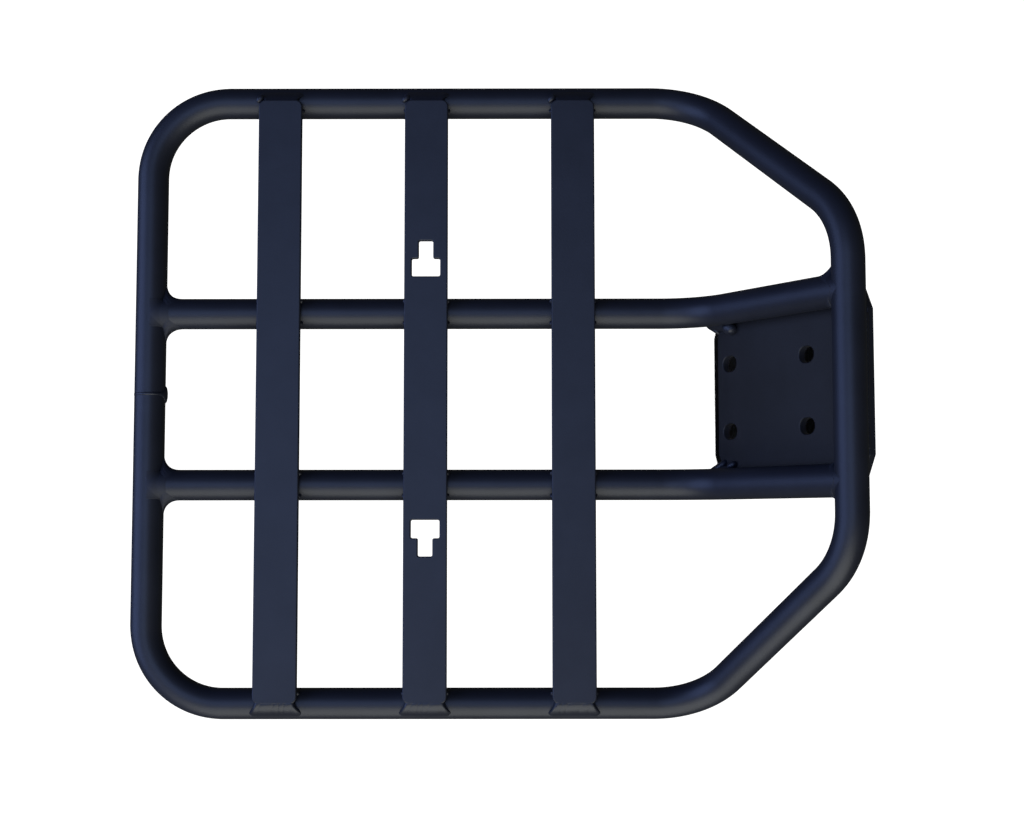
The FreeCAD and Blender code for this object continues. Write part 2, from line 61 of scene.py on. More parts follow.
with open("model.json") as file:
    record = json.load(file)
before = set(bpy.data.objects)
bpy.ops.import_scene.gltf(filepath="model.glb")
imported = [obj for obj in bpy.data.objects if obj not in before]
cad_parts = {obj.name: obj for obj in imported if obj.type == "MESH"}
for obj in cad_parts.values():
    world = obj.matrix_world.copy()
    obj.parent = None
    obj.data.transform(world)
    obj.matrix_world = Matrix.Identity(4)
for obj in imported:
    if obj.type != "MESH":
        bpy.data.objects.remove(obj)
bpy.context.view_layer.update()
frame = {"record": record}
MM = 0.001
SIDES = (("left", -1.0), ("right", 1.0))
SLATS = ("front", "middle", "rear")


# ---------------------------------------------------------------- places, read from the frame

def mount(name):
    """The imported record's mount of that name."""
    return next(m for m in frame["record"]["mounts"] if m["name"] == name)


def size_of(node):
    """A node's extent along X, Y and Z."""
    low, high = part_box(node)
    return np.array(high) - np.array(low)


def middle_of(node):
    """The middle of a node's box."""
    low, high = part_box(node)
    return (np.array(low) + np.array(high)) / 2


TUBE_R = size_of("rail_left")[1] / 2
RING_LOW, RING_HIGH = (np.array(corner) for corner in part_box("outer_ring"))
FRONT_X = RING_LOW[0] + TUBE_R
SIDE_Y = RING_HIGH[1] - TUBE_R
AXIS_Z = RING_LOW[2] + TUBE_R
REAR_X = RING_HIGH[0] - TUBE_R
REAR_Z = RING_HIGH[2] - TUBE_R
RAIL_Y = middle_of("rail_right")[1]
PLATE_NORMAL = np.array(mount("plate_back")["axis"], dtype=float)
INCLINE = math.atan2(PLATE_NORMAL[0], -PLATE_NORMAL[2])
INCLINE_LENGTH = (REAR_Z - AXIS_Z) / math.sin(INCLINE)
FOLD_X = REAR_X - INCLINE_LENGTH * math.cos(INCLINE)
SLAT_SIZE = size_of("slat_front")

UP_INCLINE = np.array([math.cos(INCLINE), 0, math.sin(INCLINE)])
FOLD = np.array([FOLD_X, 0, AXIS_Z])


def on_incline(points):
    """Points given as up the incline, across it and out of its front, in the carrier's frame."""
    basis = np.stack([UP_INCLINE, [0, 1, 0], -PLATE_NORMAL])
    return FOLD + np.asarray(points) @ basis


BACK = (np.array(mount("plate_back")["pos_m"]) - FOLD) @ PLATE_NORMAL
PLATE_THICKNESS = BACK - TUBE_R
PLATE_RISE = size_of("mount_plate")[2] - PLATE_THICKNESS * math.cos(INCLINE)
PLATE_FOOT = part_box("mount_plate")[0][2] - AXIS_Z + BACK * math.cos(INCLINE)
PLATE_LOW = PLATE_FOOT / math.sin(INCLINE)
PLATE_HIGH = PLATE_LOW + PLATE_RISE / math.sin(INCLINE)


# ---------------------------------------------------------------- sizes and colours to change

class CarrierSizes(bpy.types.PropertyGroup):
    """Sizes that the frame's boxes don't give."""

    tube_wall: FloatProperty(
        name="Tube wall", description="Wall thickness of every tube",
        default=2.0 * MM, min=0.5 * MM, unit="LENGTH")
    ring_bend: FloatProperty(
        name="Ring bend", description="Centre-line radius of the ring's bends",
        default=45 * MM, unit="LENGTH")
    rail_bend: FloatProperty(
        name="Rail bend", description="Centre-line radius of the rails' bends",
        default=45 * MM, unit="LENGTH")
    rear_half_width: FloatProperty(
        name="Rear half width", description="Middle plane to the rear corners of the ring",
        default=90 * MM, unit="LENGTH")
    flattening: FloatProperty(
        name="Bend flattening", description="Share of the radius lost on the outside of a bend",
        default=0.03, min=0, max=0.1, subtype="FACTOR")
    around: IntProperty(
        name="Facets round a tube", description="Columns of faces round each tube",
        default=72, min=16, max=160)
    slat_edge: FloatProperty(
        name="Slat edge", description="Rounding along a slat's edges, under its coat",
        default=0.7 * MM, unit="LENGTH")
    slat_corner: FloatProperty(
        name="Slat corner", description="Radius of a slat's corners",
        default=4.0 * MM, unit="LENGTH")
    strap_inner: FloatProperty(
        name="Strap slot place", description="Middle plane to the near edge of a strap slot",
        default=71 * MM, unit="LENGTH")
    strap_head_width: FloatProperty(
        name="Strap slot head width", description="Width of the wide part of a strap slot",
        default=16.6 * MM, unit="LENGTH")
    strap_head_length: FloatProperty(
        name="Strap slot head length", description="Length of the wide part of a strap slot",
        default=10.5 * MM, unit="LENGTH")
    strap_stem_width: FloatProperty(
        name="Strap slot stem width", description="Width of a strap slot's stem",
        default=8.4 * MM, unit="LENGTH")
    strap_stem_length: FloatProperty(
        name="Strap slot stem length", description="Length of a strap slot's stem",
        default=10.5 * MM, unit="LENGTH")
    strap_corner: FloatProperty(
        name="Strap slot corner", description="Radius of a strap slot's corners",
        default=1.0 * MM, unit="LENGTH")
    plate_edge: FloatProperty(
        name="Plate edge", description="Rounding along the plate's edges",
        default=0.6 * MM, unit="LENGTH")
    plate_corner: FloatProperty(
        name="Plate corner", description="Radius where the plate's edges meet",
        default=2.0 * MM, unit="LENGTH")
    plate_low_cut: FloatProperty(
        name="Plate low cut", description="Cut of a lower corner, along the plate's lower edge",
        default=20 * MM, unit="LENGTH")
    plate_low_rise: FloatProperty(
        name="Plate low rise", description="Cut of a lower corner, up the plate's side",
        default=9 * MM, unit="LENGTH")
    plate_high_cut: FloatProperty(
        name="Plate high cut", description="Cut of an upper corner, along the plate's upper edge",
        default=16 * MM, unit="LENGTH")
    plate_high_drop: FloatProperty(
        name="Plate high drop", description="Cut of an upper corner, down the plate's side",
        default=6.7 * MM, unit="LENGTH")
    hole_edge: FloatProperty(
        name="Hole edge", description="Plate's lower edge to the middle of the lower holes",
        default=10 * MM, unit="LENGTH")
    tee_leg: FloatProperty(
        name="Front fillet", description="Leg of the fillet weld between a rail and the front tube",
        default=9.5 * MM, unit="LENGTH")
    rear_leg: FloatProperty(
        name="Rear fillet", description="Leg of the fillet weld between a rail and the rear tube",
        default=4.5 * MM, unit="LENGTH")
    rear_outer_leg: FloatProperty(
        name="Rear outer fillet",
        description="Leg of that weld on the right rail's outer side, which took more metal",
        default=10.5 * MM, unit="LENGTH")


class CoatColours(bpy.types.PropertyGroup):
    """Colours of the powder coat, and of the stage's floor."""

    deep: FloatVectorProperty(
        name="Coat, deep", description="Darker tone of the powder coat",
        subtype="COLOR", size=3, min=0, max=1, default=(0.0135, 0.0155, 0.024))
    light: FloatVectorProperty(
        name="Coat, light", description="Lighter tone of the powder coat",
        subtype="COLOR", size=3, min=0, max=1, default=(0.0185, 0.021, 0.032))
    floor: FloatVectorProperty(
        name="Floor", description="Colour of the floor",
        subtype="COLOR", size=3, min=0, max=1, default=(0.92, 0.92, 0.92))


def sizes():
    """The scene's sizes."""
    return bpy.context.scene.carrier_sizes


def colours():
    """The scene's colours."""
    return bpy.context.scene.carrier_colours


# ---------------------------------------------------------------- meshes from arrays

def grid_faces(rows, columns, close_rows=False):
    """Quads over a grid whose columns close in a ring, and whose rows do where that is asked."""
    row = np.arange(rows if close_rows else rows - 1)
    r, c = np.meshgrid(row, np.arange(columns), indexing="ij")
    next_r, next_c = (r + 1) % rows, (c + 1) % columns
    quads = np.stack([r * columns + c, r * columns + next_c,
                      next_r * columns + next_c, next_r * columns + c], axis=-1)
    return quads.reshape(-1, 4).tolist()


def make_piece(name, points, faces, nodes, sharp=35):
    """A finished object from points and faces, smooth but for edges over the sharp angle.

    Points that coincide, as at a pole, are merged, and the faces are turned outwards.
    """
    mesh = bpy.data.meshes.new(name)
    mesh.from_pydata(np.asarray(points).reshape(-1, 3).tolist(), [], faces)
    work = bmesh.new()
    work.from_mesh(mesh)
    bmesh.ops.remove_doubles(work, verts=work.verts, dist=1e-6)
    bmesh.ops.recalc_face_normals(work, faces=work.faces)
    work.to_mesh(mesh)
    work.free()
    mesh.shade_smooth()
    mesh.set_sharp_from_angle(angle=math.radians(sharp))
    piece = bpy.data.objects.new(name, mesh)
    bpy.context.scene.collection.objects.link(piece)
    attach(piece, "root")
    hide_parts(*nodes)
    return piece


def joined(parts):
    """Several (points, faces) parts as one list of points and one of faces."""
    starts = np.cumsum([0] + [len(np.reshape(points, (-1, 3))) for points, _ in parts])
    points = np.concatenate([np.reshape(points, (-1, 3)) for points, _ in parts])
    faces = []
    for start, (_, part_faces) in zip(starts, parts):
        faces += (np.asarray(part_faces) + start).tolist()
    return points, faces


def unit(vectors):
    """Vectors scaled to length one."""
    vectors = np.asarray(vectors, dtype=float)
    return vectors / np.linalg.norm(vectors, axis=-1, keepdims=True)


# ---------------------------------------------------------------- tubes

BEND_STEPS = 28             # rows of faces round a bend
COPE_RING = 0.12            # share of a rail's first and last stretch kept for its coped end
ROOT_GAP = 0.12             # half the gap that the ring's weld closes, as a share of its width


def bent_line(corners, radius, steps):
    """Centre line through corners with tangent arcs of one radius.

    On an arc the point is centre + radius (cos a towards the start + sin a along the way in), with
    a from zero to the turn. Returns the points, their directions, how far into a bend each one
    is, from 0 on the straight to 1 at the middle of an arc, and the arc's outward direction.
    """
    corners = np.asarray(corners, dtype=float)
    points, ways = [corners[:1]], [unit(corners[1:2] - corners[:1])]
    depth, outward = [np.zeros(1)], [np.zeros((1, 3))]
    for before, corner, after in zip(corners, corners[1:], corners[2:]):
        way_in, way_out = unit(corner - before), unit(after - corner)
        turn = math.acos(np.clip(way_in @ way_out, -1, 1))
        tangent = radius * math.tan(turn / 2)
        inward = unit(way_out - way_in * math.cos(turn))
        a = np.linspace(0, turn, steps)[:, None]
        start = corner - way_in * tangent
        centre = start + inward * radius
        points.append(centre - inward * radius * np.cos(a) + way_in * radius * np.sin(a))
        ways.append(way_in * np.cos(a) + inward * np.sin(a))
        depth.append(np.sin(np.linspace(0, math.pi, steps)) ** 0.5)
        outward.append(-inward * np.cos(a) + way_in * np.sin(a))
    points.append(corners[-1:])
    ways.append(unit(corners[-1:] - corners[-2:-1]))
    depth.append(np.zeros(1))
    outward.append(np.zeros((1, 3)))
    return [np.concatenate(part) for part in (points, ways, depth, outward)]


def tube_skin(line, radius, around, flattening):
    """A tube's skin round its centre line.

    Each point is centre + radius (cos f across + sin f up), with up the vertical less its part
    along the way. On a bend the outer side is drawn in by the flattening share.
    """
    points, ways, depth, outward = line
    up = unit(np.array([0, 0, 1.0]) - ways[:, 2:3] * ways)
    across = np.cross(ways, up)
    f = np.linspace(0, 2 * math.pi, around, endpoint=False)
    rays = across[:, None] * np.cos(f)[None, :, None] + up[:, None] * np.sin(f)[None, :, None]
    outer = np.clip(np.einsum("ijk,ik->ij", rays, outward), 0, 1) ** 2
    reach = radius * (1 - flattening * depth[:, None] * outer)
    return points[:, None] + rays * reach[..., None]


class CARRIER_OT_outer_ring(bpy.types.Operator):
    """Builds the bent tube that runs all round the carrier"""

    bl_idname = "carrier.outer_ring"
    bl_label = "Outer ring"

    def execute(self, context):
        s = sizes()
        gap = size_of("ring_butt_weld")[1] * ROOT_GAP
        seam = middle_of("ring_butt_weld")[1]
        half = [(FRONT_X, SIDE_Y, AXIS_Z), (FOLD_X, SIDE_Y, AXIS_Z),
                (REAR_X, s.rear_half_width, REAR_Z)]
        other = [(x, -y, z) for x, y, z in reversed(half)]
        ends = (FRONT_X, seam + gap, AXIS_Z), (FRONT_X, seam - gap, AXIS_Z)
        corners = [ends[0]] + half + other + [ends[1]]
        line = bent_line(corners, s.ring_bend, BEND_STEPS)
        outer = tube_skin(line, TUBE_R, s.around, s.flattening)
        inner = tube_skin(line, TUBE_R - s.tube_wall, s.around, s.flattening)
        skin = np.concatenate([outer, inner[::-1]])
        faces = grid_faces(len(skin), s.around, close_rows=True)
        ring = make_piece("ring_tube", skin, faces, ["outer_ring"])
        coat(ring, "ring_coat")
        return {"FINISHED"}


class CARRIER_OT_rails(bpy.types.Operator):
    """Builds the two rails, bent up at the fold and coped to the cross tubes"""

    bl_idname = "carrier.rails"
    bl_label = "Rails"

    def execute(self, context):
        s = sizes()
        for side, sign in SIDES:
            outer = rail_skin(TUBE_R, sign * RAIL_Y)
            inner = rail_skin(TUBE_R - s.tube_wall, sign * RAIL_Y)
            skin = np.concatenate([outer, inner[::-1]])
            faces = grid_faces(len(skin), s.around, close_rows=True)
            rail = make_piece("rail_tube_" + side, skin, faces, ["rail_" + side])
            coat(rail, "rail_coat_" + side)
        return {"FINISHED"}


def rail_skin(radius, y):
    """A rail's skin, with each end on the cross tube's surface.

    At the angle f round the rail the cross tube's surface lies the square root of
    (tube radius squared - (radius sin f) squared) from the cross tube's axis.
    """
    s = sizes()
    corners = [(FRONT_X, y, AXIS_Z), (FOLD_X, y, AXIS_Z), (REAR_X, y, REAR_Z)]
    line = bent_line(corners, s.rail_bend, BEND_STEPS)
    skin = tube_skin(line, radius, s.around, s.flattening)
    f = np.linspace(0, 2 * math.pi, s.around, endpoint=False)
    cope = np.sqrt(np.maximum(TUBE_R ** 2 - (radius * np.sin(f)) ** 2, 0))
    skin[0, :, 0] = FRONT_X + cope
    skin[-1] -= cope[:, None] * UP_INCLINE
    near = skin[0] + (skin[1] - skin[0]) * COPE_RING
    far = skin[-1] + (skin[-2] - skin[-1]) * COPE_RING
    return np.concatenate([skin[:1], near[None], skin[1:-1], far[None], skin[-1:]])


# ---------------------------------------------------------------- flat parts

SHELF = 0.25 * MM           # flat strip inside a rounded edge, so that the flat face shades flat


def rounded_loop(corners, radii, steps=7):
    """An outline with rounded corners, counter-clockwise, and its outward normals.

    Each corner gives the points centre + radius (cos a, sin a) over the angles between its two
    sides' normals; the straight sides join one corner's last point to the next one's first.
    """
    corners = np.asarray(corners, dtype=float)
    radii = np.broadcast_to(radii, len(corners))
    ahead = unit(np.roll(corners, -1, axis=0) - corners)
    behind = np.roll(ahead, 1, axis=0)
    cross = behind[:, 0] * ahead[:, 1] - behind[:, 1] * ahead[:, 0]
    turn = np.arctan2(cross, np.sum(behind * ahead, axis=1))
    normal = np.stack([behind[:, 1], -behind[:, 0]], axis=1)
    start = np.arctan2(normal[:, 1], normal[:, 0])
    side = np.sign(turn)
    reach = radii * np.abs(np.tan(turn / 2))
    centre = corners - behind * reach[:, None] - normal * (side * radii)[:, None]
    a = start[:, None] + turn[:, None] * np.linspace(0, 1, steps)
    normals = np.stack([np.cos(a), np.sin(a)], axis=-1)
    points = centre[:, None] + normals * (side * radii)[:, None, None]
    return points.reshape(-1, 2), normals.reshape(-1, 2)


def flat_part(outline, holes, thickness, edge, top=0.0, steps=5):
    """A flat part with rounded edges, as points and faces.

    The edge profile is a flat shelf, a quarter round, the wall, a quarter round and a shelf. Over
    a quarter round inset = edge (1 - sin a) and depth = edge (1 - cos a). The profile is carried
    along the outline and along each hole, and the flat faces are filled between its ends.
    """
    a = np.linspace(0, math.pi / 2, steps)
    shelf = [edge + SHELF]
    inset = np.concatenate([shelf, edge * (1 - np.sin(a)), edge * (1 - np.sin(a[::-1])), shelf])
    fall = np.concatenate([[0], edge * (1 - np.cos(a))])
    depth = np.concatenate([fall, thickness - fall[::-1]])
    parts, tops, lows, first = [], [], [], 0
    for points, normals in [outline] + holes:
        skin = np.empty((len(inset), len(points), 3))
        skin[..., :2] = points - normals * inset[:, None, None]
        skin[..., 2] = top - depth[:, None]
        parts.append((skin, grid_faces(len(inset), len(points))))
        tops.append((skin[0], first))
        lows.append((skin[-1], first + (len(inset) - 1) * len(points)))
        first += skin.shape[0] * skin.shape[1]
    points, faces = joined(parts)
    for ends in (tops, lows):
        index = np.concatenate([start + np.arange(len(ring)) for ring, start in ends])
        rings = [[Vector(p) for p in ring.tolist()] for ring, _ in ends]
        faces += [[int(index[i]) for i in triangle] for triangle in tessellate_polygon(rings)]
    return points, faces


def strap_loop(sign):
    """The outline of a strap slot: a wide part, then a stem pointing outwards."""
    s = sizes()
    head, stem = s.strap_head_width / 2, s.strap_stem_width / 2
    low = s.strap_inner
    step = low + s.strap_head_length
    high = step + s.strap_stem_length
    shape = np.array([(-head, low), (head, low), (head, step), (stem, step),
                      (stem, high), (-stem, high), (-stem, step), (-head, step)])
    if sign < 0:
        shape = shape[::-1] * (1, -1)
    points, normals = rounded_loop(shape, s.strap_corner, 5)
    return points, -normals


class CARRIER_OT_slats(bpy.types.Operator):
    """Builds the three flat bars of the load deck"""

    bl_idname = "carrier.slats"
    bl_label = "Slats"

    def execute(self, context):
        s = sizes()
        wide, long, thick = SLAT_SIZE[0] / 2, SLAT_SIZE[1] / 2, SLAT_SIZE[2]
        shape = [(-wide, -long), (wide, -long), (wide, long), (-wide, long)]
        for name in SLATS:
            holes = [strap_loop(sign) for _, sign in SIDES] if name == "middle" else []
            outline = rounded_loop(shape, s.slat_corner, 9)
            points, faces = flat_part(outline, holes, thick, s.slat_edge)
            points = points + (middle_of("slat_" + name)[0], 0, 0)
            slat = make_piece("slat_bar_" + name, points, faces, ["slat_" + name])
            coat(slat, "slat_coat_" + name)
        return {"FINISHED"}


class CARRIER_OT_plate(bpy.types.Operator):
    """Builds the mounting plate with its cut corners and four slotted holes"""

    bl_idname = "carrier.plate"
    bl_label = "Mounting plate"

    def execute(self, context):
        s = sizes()
        half = size_of("mount_plate")[1] / 2
        middle = middle_of("mount_plate")[1]
        low, high = PLATE_LOW, PLATE_HIGH
        side = np.array([(low, half - s.plate_low_cut), (low + s.plate_low_rise, half),
                         (high - s.plate_high_drop, half), (high, half - s.plate_high_cut)])
        shape = np.concatenate([side * (1, -1), side[::-1]]) + (0, middle)
        outline = rounded_loop(shape, s.plate_corner, 7)
        dims = mount("plate_holes")["dims"]
        r = dims["hole_r_mm"] * MM
        reach = dims["slot_length_mm"] * MM / 2
        holes = []
        for x in (low + s.hole_edge, low + s.hole_edge + dims["spacing_x_mm"] * MM):
            for y in (-dims["spacing_y_mm"] * MM / 2, dims["spacing_y_mm"] * MM / 2):
                box = np.array([(-reach, -r), (reach, -r), (reach, r), (-reach, r)]) + (x, y)
                points, normals = rounded_loop(box, r, 10)
                holes.append((points, -normals))
        points, faces = flat_part(outline, holes, PLATE_THICKNESS, s.plate_edge, top=-TUBE_R)
        plate = make_piece("plate", on_incline(points), faces, ["mount_plate"])
        coat(plate, "plate_coat")
        return {"FINISHED"}


# ---------------------------------------------------------------- weld beads

# Sections of the beads over a slat's ends: first, control and last point of a quadratic curve,
# each as its distance out from the slat's end and its height over the slat's top face.
LEFT_END_CURVE = np.array([(-1.8, -0.25), (3.4, 1.3), (7.9, -7.4)]) * MM
RIGHT_END_CURVE = np.array([(-0.7, -0.5), (2.0, -0.9), (6.0, -5.5)]) * MM
END_HEART = np.array([-2.6, 0.3]) * MM      # from the last point to the one the ends close on
END_CLOSE = 3.4 * MM                        # length over which an end closes
END_ROOT = 1.1 * MM                         # how far the section bulges back into the metal

TEE_PITCH = 3.4 * MM        # ripple spacing round a rail's fillet
TEE_RIPPLE = 0.07 * MM
TEE_LIFT = 1.1 * MM         # crown of the fillet where the tubes only cross
TEE_ROOT = 1.2 * MM         # depth of the fillet's and the crown's hidden sides
CROWN_TURN = math.radians(68)       # the crown's reach to each side of the rail's top
CROWN_SOFT = 0.42 * TUBE_R          # height difference over which its two tubes blend
CROWN_FILL = 0.8                    # share of the groove that it fills
CROWN_RIM = 0.35 * MM               # how far its edges are sunk

RING_PITCH = 2.2 * MM       # ripple spacing round the ring's weld
RING_NARROW = 0.8 * MM      # half width of that weld, and what its blob adds on the inner side
RING_BLOB = 4.2 * MM

# The weld at a lower corner of the plate: each run's start, end, half width and crown in mm, with
# places as up the incline, out from the middle plane and out of the incline's front.
SEAM_RUN = ((3.0, 43.6, -6.0), (20.0, 42.2, -7.0), 3.8, 2.6)
CORNER_RUNS = {
    "right": (((1.0, 45.0, -5.5), (9.5, 39.0, -9.0), 3.0, 2.2), SEAM_RUN,
              ((15.5, 41.2, -6.8), (24.5, 40.0, -7.0), 4.0, 4.2)),
    "left": (((0.5, 45.0, -5.5), (14.0, 37.6, -8.6), 3.1, 2.2), SEAM_RUN,
             ((16.5, 40.6, -7.4), (22.5, 38.8, -7.8), 2.6, 2.4)),
}


def bead(start, end, across, up, half_width, crown, sink, pitch, depth, seed,
         steps=96, around=28):
    """A weld bead from start to end, as points and faces.

    The section is an ellipse, half_width across and crown high above the seam, sink deep below
    it, and its ends close as quarter circles. Ripples follow the phase
    (way / pitch - bow cos squared), each one a half circle between two valleys. Slow waves,
    which start from the seed, make their length and height uneven.
    """
    start, end = np.asarray(start, dtype=float), np.asarray(end, dtype=float)
    length = np.linalg.norm(end - start)
    way = np.linspace(0, 1, steps)
    way = (0.5 - 0.5 * np.cos(way * math.pi)) * 0.35 + way * 0.65
    x = way * length
    f = np.linspace(0, 2 * math.pi, around, endpoint=False)
    run = min(half_width, length / 2)
    near = np.minimum(x, length - x)
    close = np.sqrt(np.clip(1 - (1 - np.clip(near / run, 0, 1)) ** 2, 0, 1))
    bow = 0.55 * np.cos(f)[None] ** 2
    drift = 0.35 * np.sin(x / pitch * 0.9 + seed) + 0.2 * np.sin(x / pitch * 2.3 + seed * 1.7)
    phase = (x / pitch + drift)[:, None] - bow
    ripple = np.sqrt(np.clip(1 - (2 * (phase - np.floor(phase)) - 1) ** 2, 0, 1))
    swell = 1 + 0.05 * np.sin(x / pitch * 1.3 + seed * 2.1)[:, None]
    reach = close[:, None] * swell * (1 - depth * (1 - ripple))
    height = np.where(np.sin(f) > 0, crown, sink)[None]
    seam = start + (end - start) * way[:, None]
    points = (seam[:, None]
              + (reach * np.cos(f)[None] * half_width)[..., None] * np.asarray(across)
              + (reach * np.sin(f)[None] * height)[..., None] * np.asarray(up))
    return points, grid_faces(steps, around)


def lapped_bead(half, curve, inner_over, outer_over, pitch, depth, seed, steps=120, rows=26):
    """A bead lapped from a slat's top over its end on to the tube, in the slat end's own frame.

    X runs across the slat, Y outwards from its end, Z up. The top of the section is the quadratic
    curve of the three given (y, z) points, and it returns underneath, inside the metal. Its half
    length grows smoothly from half + inner_over at the slat to half + outer_over at the tube, and
    both ends close as quarter circles towards a point inside the tube. The ripples are half
    circles between valleys, of the phase x / pitch + slant v + bow v (1 - v).
    """
    v = np.linspace(0, 1, rows)[:, None]
    first, control, last = curve
    top = (1 - v) ** 2 * first + 2 * v * (1 - v) * control + v ** 2 * last
    back = np.linspace(1, 0, 8)[1:-1, None]
    under = first + (last - first) * back - np.array([0, END_ROOT]) * np.sin(math.pi * back)
    loop = np.concatenate([top, under])
    along = np.concatenate([v, back])[:, 0]
    grow = along ** 2 * (3 - 2 * along)
    wide = half + inner_over + (outer_over - inner_over) * grow
    u = np.sin(np.linspace(-1, 1, steps) * math.pi / 2)
    u = 0.45 * u + 0.55 * np.linspace(-1, 1, steps)
    x = u[:, None] * wide[None]
    near = np.clip((1 - np.abs(u)) / (END_CLOSE / half), 0, 1)
    close = np.sqrt(np.clip(1 - (1 - near) ** 2, 0, 1))[:, None]
    drift = 0.35 * np.sin(x / pitch * 0.9 + seed) + 0.25 * np.sin(x / pitch * 2.1 + 1.7 * seed)
    phase = x / pitch + drift + 0.55 * along + 1.1 * along * (1 - along) + seed
    ripple = np.sqrt(np.clip(1 - (2 * (phase - np.floor(phase)) - 1) ** 2, 0, 1)) - 0.8
    heart = last + END_HEART
    ray = unit(loop - heart)
    on_top = np.concatenate([np.sin(math.pi * v[:, 0]) ** 0.7, 0 * back[:, 0]])
    swell = 0.12 * MM * np.sin(x / pitch * 1.1 + 2.3 * seed)
    lift = (depth * ripple + swell) * on_top[None]
    section = loop[None] + ray[None] * lift[..., None]
    section = heart + (section - heart) * close[..., None]
    points = np.concatenate([x[..., None], section], axis=-1)
    return points, grid_faces(steps, len(loop))


def tee_fillet(leg, outer_leg=None, seed=0.0, rows=144, columns=16):
    """A fillet weld round a rail's end, in the joint's own frame.

    X runs from the cross tube's axis along the rail, Y across, Z up. At the angle f round the rail,
    from its top, the tubes meet at x = R |sin f|. The skin is a quadratic curve from the rail to
    the cross tube. At the sides its middle point is that seam, so it is hollow there. Over the
    top and the bottom, where the tubes only cross, its middle point is lifted, so it is a low
    crown. The leg grows to outer_leg on the side towards +Y.
    """
    R = TUBE_R
    f = np.linspace(0, 2 * math.pi, rows, endpoint=False)[:, None]
    side = np.abs(np.sin(f))
    soft = np.sqrt(side ** 2 + 0.03) - 0.03 / 2
    blend = side ** 1.6
    reach = leg + ((outer_leg or leg) - leg) * np.clip(np.sin(f), 0, 1)
    ray = np.concatenate([0 * f, np.sin(f), np.cos(f)], axis=1)
    seam = np.concatenate([R * side, R * np.sin(f), R * np.cos(f)], axis=1)
    run = 1.02 * reach * (1 - blend) + (R + reach) * blend
    on_rail = np.concatenate([run, R * np.sin(f), R * np.cos(f)], axis=1)
    least = math.asin(0.2)
    phi = np.minimum(least + (math.pi / 2 - least) * soft ** 0.9, math.pi / 2)
    wide = (R + reach * side ** 0.8) * np.sin(f)
    low = np.where(np.cos(f) >= 0, 1.0, -1.0)
    on_cross = np.concatenate([R * np.sin(phi), wide, low * R * np.cos(phi)], axis=1)
    chord = (on_rail + on_cross) / 2
    full = np.clip(1.15 * (1 - side ** 3), 0, 1)
    middle = seam + (chord - seam) * full + ray * (TEE_LIFT * (1 - side ** 4))
    v = np.linspace(0, 1, columns)
    share = v[None, :, None]
    curve = ((1 - share) ** 2 * on_rail[:, None] + 2 * share * (1 - share) * middle[:, None]
             + share ** 2 * on_cross[:, None])
    phase = 2 * math.pi * (R + leg) * f / TEE_PITCH
    wave = np.sin(phase + 2.6 * np.cos(math.pi * v)[None] + 0.8 * np.sin(3 * f + seed))
    curve = curve + (TEE_RIPPLE * wave * np.sin(math.pi * v)[None])[..., None] * ray[:, None]
    under = seam - ray * TEE_ROOT
    skin = np.concatenate([curve, under[:, None]], axis=1)
    return skin, grid_faces(rows, columns + 1, close_rows=True)


def tee_crown(near, far, rise, rows=72, columns=56):
    """The low crown of weld over a rail's end, in the joint's own frame.

    X runs from the cross tube's axis along the rail, Y across, Z up. Over each point the cross
    tube is sqrt(R squared - x squared) high and the rail sqrt(R squared - y squared). The skin is
    their smooth maximum, which fills the groove where they cross, lifted by rise in the middle
    of its length and sunk a little at its edges. It closes underneath, inside the metal.
    """
    R = TUBE_R
    x = np.linspace(near, far, columns)[None]
    turn = np.linspace(-1, 1, rows)[:, None] * CROWN_TURN
    y = R * np.sin(turn) + 0 * x
    cross = np.sqrt(np.clip(R ** 2 - x ** 2, 0, None)) + 0 * y
    rail = R * np.cos(turn) + 0 * x
    fill = np.clip(CROWN_SOFT - np.abs(cross - rail), 0, None) ** 2 / (4 * CROWN_SOFT)
    along = np.sin(math.pi * (x - near) / (far - near)) + 0 * y
    around = np.cos(turn / CROWN_TURN * math.pi / 2) + 0 * x
    top = np.maximum(cross, rail) + CROWN_FILL * fill * along ** 0.5 + rise * along * around ** 0.5
    rim = np.clip(1 - 6 * along, 0, 1) ** 2
    top = top - CROWN_RIM * np.maximum(rim, np.clip(1 - 6 * around, 0, 1) ** 2)
    upper = np.stack([x + 0 * y, y, top], axis=-1)
    depth = np.where(np.abs(turn) < np.max(turn) - 1e-6, TEE_ROOT, 0.0) + 0 * x
    lower = upper - depth[..., None] * np.array([0, 0, 1])
    loop = np.concatenate([upper, lower[:, ::-1]], axis=1)
    return loop, grid_faces(rows, 2 * columns)


def ring_bead(rise, seam, wall, steps=180, around=24):
    """The bead round the ring's butt joint, as points and faces.

    At the angle f round the tube, zero on the carrier's inner side, and a round the bead's own
    section, the point is tube radius + crown sin a from the tube's axis and half width cos a
    from the seam; under the skin the wall takes the crown's place. The crown is rise, more
    where the bead ends in a blob on the inner side and less on the outer one, with ripples.
    """
    f = np.linspace(0, 2 * math.pi, steps, endpoint=False)[:, None]
    a = np.linspace(0, 2 * math.pi, around, endpoint=False)[None]
    inner = np.clip(np.cos(f + 0.15), 0, 1) ** 10
    ripple = np.abs(np.sin(math.pi * f * TUBE_R / RING_PITCH + 0.9 * np.cos(a) ** 2))
    outer = np.clip(-np.cos(f), 0, 1) ** 2
    crown = rise * (0.98 + 1.8 * inner - 0.7 * outer) * (0.92 + 0.08 * ripple)
    out = np.where(np.sin(a) > 0, crown * np.sin(a), wall * np.sin(a))
    wide = RING_NARROW + RING_BLOB * inner + 0 * a
    r = TUBE_R + out
    points = np.stack([FRONT_X + r * np.cos(f), seam + wide * np.cos(a),
                       AXIS_Z + r * np.sin(f)], axis=-1)
    return points, grid_faces(steps, around, close_rows=True)


